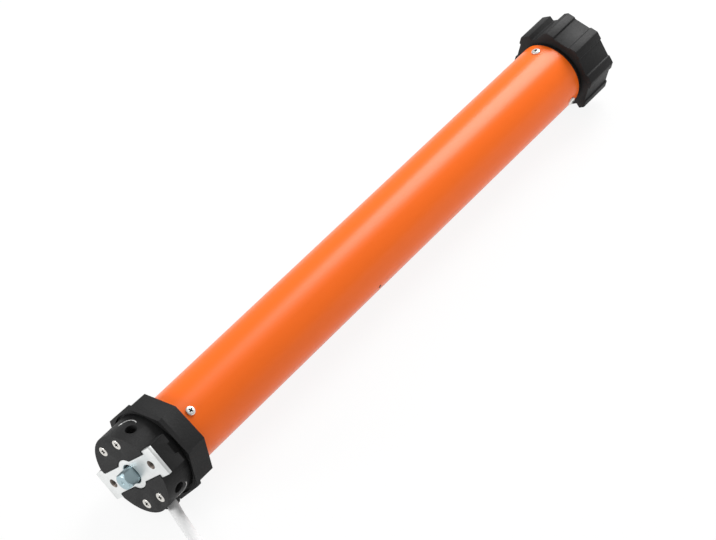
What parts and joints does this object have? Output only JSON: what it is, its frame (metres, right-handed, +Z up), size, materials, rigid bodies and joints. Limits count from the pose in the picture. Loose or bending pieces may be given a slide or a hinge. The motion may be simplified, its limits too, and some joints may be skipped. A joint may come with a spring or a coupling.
{
  "type": "tubular roller blind motor",
  "caption": "Tubular motor for a roller blind: round head with square pin and bracket plate, octagonal idler crown and drive wheel on a painted tube, geared motor inside.",
  "frame": {"origin": "on the surface that the motor lies on, under the middle of its length, below the motor's axis", "axes": "+X along the motor's axis from the head to the drive wheel, +Z up"},
  "size_m": [0.6432, 0.115, 0.0612],
  "materials": {
    "black_plastic": "fine moulded texture, black",
    "adjuster_plastic": "moulded black",
    "zinc_plate": "stamped and zinc plated, bluish white",
    "pin_steel": "turned and milled, zinc plated",
    "face_screw_steel": "zinc plated",
    "tube_screw_steel": "bright zinc plated",
    "orange_paint": "satin powder coat, orange",
    "rivet_steel": "darkened",
    "gear_nylon": "natural nylon",
    "switch_frame_plastic": "moulded, off white",
    "switch_plastic": "moulded, dark grey",
    "capacitor_can": "drawn can",
    "harness_insulation": "extruded sleeve",
    "bell_alloy": "die cast",
    "bearing_steel": "ground",
    "lamination_steel": "stacked laminations",
    "copper_winding": "enamelled copper wire",
    "brake_steel": "ground",
    "friction_lining": "bonded lining",
    "gearbox_steel": "sintered, oiled",
    "carrier_steel": "sintered",
    "bearing_bronze": "sintered bronze",
    "grommet_rubber": "moulded",
    "cable_sheath": "extruded, white",
    "tie_plastic": "moulded, black",
    "brown_core": "extruded, brown",
    "black_core": "extruded, black",
    "blue_core": "extruded, blue",
    "earth_core": "extruded, green and yellow",
    "ferrule_tin": "tinned"
  },
  "bodies": {
    "motor": {"head_housing": "black_plastic", "head_cover": "black_plastic", "gearbox_end_cap": "black_plastic", "mounting_plate": "zinc_plate", "mounting_pin": "pin_steel", "face_screws": "face_screw_steel", "head_end_screws": "tube_screw_steel", "drive_end_screws": "tube_screw_steel", "motor_tube": "orange_paint", "stator_rivet": "rivet_steel", "limit_switch_frame": "switch_frame_plastic", "microswitches": "switch_plastic", "capacitor_cradle": "switch_plastic", "capacitor": "capacitor_can", "wiring_harness": "harness_insulation", "motor_bell_head": "bell_alloy", "motor_bell_drive": "bell_alloy", "bearing_head": "bearing_steel", "bearing_drive": "bearing_steel", "stator_core": "lamination_steel", "winding_head": "copper_winding", "winding_drive": "copper_winding", "brake_coil": "copper_winding", "brake_back_plate": "brake_steel", "gearbox_housing": "gearbox_steel", "output_bearing": "bearing_bronze", "cable_grommet": "grommet_rubber", "cable": "cable_sheath", "cable_coil": "cable_sheath", "cable_tie": "tie_plastic", "core_brown": "brown_core", "core_black": "black_core", "core_blue": "blue_core", "core_earth": "earth_core", "core_ferrules": "ferrule_tin"},
    "output": {"output_shaft": "carrier_steel", "drive_wheel": "black_plastic", "drive_wheel_washer": "tube_screw_steel", "drive_wheel_screw": "tube_screw_steel"},
    "second_carrier": {"carrier_2": "carrier_steel"},
    "first_carrier": {"carrier_1": "carrier_steel"},
    "rotor": {"rotor_core": "lamination_steel", "rotor_shaft": "bearing_steel", "brake_disc": "friction_lining"},
    "crown_ring": {"crown": "black_plastic"},
    "limit_gear": {"limit_pinion": "gear_nylon"},
    "adjuster_up": {"limit_adjuster_up": "adjuster_plastic"},
    "adjuster_down": {"limit_adjuster_down": "adjuster_plastic"},
    "armature": {"brake_armature": "brake_steel"},
    "planet_1a": {"planet_1a": "gear_nylon"},
    "planet_1b": {"planet_1b": "gear_nylon"},
    "planet_1c": {"planet_1c": "gear_nylon"},
    "planet_2a": {"planet_2a": "gear_nylon"},
    "planet_2b": {"planet_2b": "gear_nylon"},
    "planet_2c": {"planet_2c": "gear_nylon"},
    "planet_3a": {"planet_3a": "gear_nylon"},
    "planet_3b": {"planet_3b": "gear_nylon"},
    "planet_3c": {"planet_3c": "gear_nylon"}
  },
  "joints": [
    {"name": "drive_spin", "type": "hinge", "parent": "motor", "child": "output", "pos_m": [0, 0, 0.03042], "axis": [1, 0, 0], "continuous": true},
    {"name": "second_carrier_spin", "type": "hinge", "parent": "motor", "child": "second_carrier", "pos_m": [0, 0, 0.03042], "axis": [1, 0, 0], "continuous": true},
    {"name": "first_carrier_spin", "type": "hinge", "parent": "motor", "child": "first_carrier", "pos_m": [0, 0, 0.03042], "axis": [1, 0, 0], "continuous": true},
    {"name": "rotor_spin", "type": "hinge", "parent": "motor", "child": "rotor", "pos_m": [0, 0, 0.03042], "axis": [1, 0, 0], "continuous": true},
    {"name": "crown_spin", "type": "hinge", "parent": "motor", "child": "crown_ring", "pos_m": [0, 0, 0.03042], "axis": [1, 0, 0], "continuous": true},
    {"name": "limit_gear_spin", "type": "hinge", "parent": "motor", "child": "limit_gear", "pos_m": [0, 0.01563, 0.0173], "axis": [1, 0, 0], "continuous": true},
    {"name": "planet_1a_spin", "type": "hinge", "parent": "first_carrier", "child": "planet_1a", "pos_m": [0, 0, 0.04175], "axis": [1, 0, 0], "continuous": true},
    {"name": "planet_1b_spin", "type": "hinge", "parent": "first_carrier", "child": "planet_1b", "pos_m": [0, -0.00981, 0.02475], "axis": [1, 0, 0], "continuous": true},
    {"name": "planet_1c_spin", "type": "hinge", "parent": "first_carrier", "child": "planet_1c", "pos_m": [0, 0.00981, 0.02475], "axis": [1, 0, 0], "continuous": true},
    {"name": "planet_2a_spin", "type": "hinge", "parent": "second_carrier", "child": "planet_2a", "pos_m": [0, 0, 0.04175], "axis": [1, 0, 0], "continuous": true},
    {"name": "planet_2b_spin", "type": "hinge", "parent": "second_carrier", "child": "planet_2b", "pos_m": [0, -0.00981, 0.02475], "axis": [1, 0, 0], "continuous": true},
    {"name": "planet_2c_spin", "type": "hinge", "parent": "second_carrier", "child": "planet_2c", "pos_m": [0, 0.00981, 0.02475], "axis": [1, 0, 0], "continuous": true},
    {"name": "planet_3a_spin", "type": "hinge", "parent": "output", "child": "planet_3a", "pos_m": [0, 0, 0.04175], "axis": [1, 0, 0], "continuous": true},
    {"name": "planet_3b_spin", "type": "hinge", "parent": "output", "child": "planet_3b", "pos_m": [0, -0.00981, 0.02475], "axis": [1, 0, 0], "continuous": true},
    {"name": "planet_3c_spin", "type": "hinge", "parent": "output", "child": "planet_3c", "pos_m": [0, 0.00981, 0.02475], "axis": [1, 0, 0], "continuous": true},
    {"name": "adjuster_up_turn", "type": "hinge", "parent": "motor", "child": "adjuster_up", "pos_m": [-0.21045, 0, 0.03042], "axis": [0, 0.0175, 0.9998], "continuous": true},
    {"name": "adjuster_down_turn", "type": "hinge", "parent": "motor", "child": "adjuster_down", "pos_m": [-0.21045, 0, 0.03042], "axis": [0, -0.9744, -0.225], "continuous": true},
    {"name": "armature_slide", "type": "slide", "parent": "motor", "child": "armature", "axis": [1, 0, 0], "range_m": [-0.0005, 0], "stiffness_N_per_m": 5000, "springref_m": 0.005}
  ],
  "couplings": [
    {"joint": "second_carrier_spin", "follows": "drive_spin", "ratio": 5},
    {"joint": "first_carrier_spin", "follows": "drive_spin", "ratio": 25},
    {"joint": "rotor_spin", "follows": "drive_spin", "ratio": 125},
    {"joint": "limit_gear_spin", "follows": "crown_spin", "ratio": 5.25},
    {"joint": "planet_1a_spin", "follows": "drive_spin", "ratio": -66.667},
    {"joint": "planet_1b_spin", "follows": "drive_spin", "ratio": -66.667},
    {"joint": "planet_1c_spin", "follows": "drive_spin", "ratio": -66.667},
    {"joint": "planet_2a_spin", "follows": "drive_spin", "ratio": -13.333},
    {"joint": "planet_2b_spin", "follows": "drive_spin", "ratio": -13.333},
    {"joint": "planet_2c_spin", "follows": "drive_spin", "ratio": -13.333},
    {"joint": "planet_3a_spin", "follows": "drive_spin", "ratio": -2.6667},
    {"joint": "planet_3b_spin", "follows": "drive_spin", "ratio": -2.6667},
    {"joint": "planet_3c_spin", "follows": "drive_spin", "ratio": -2.6667}
  ]
}
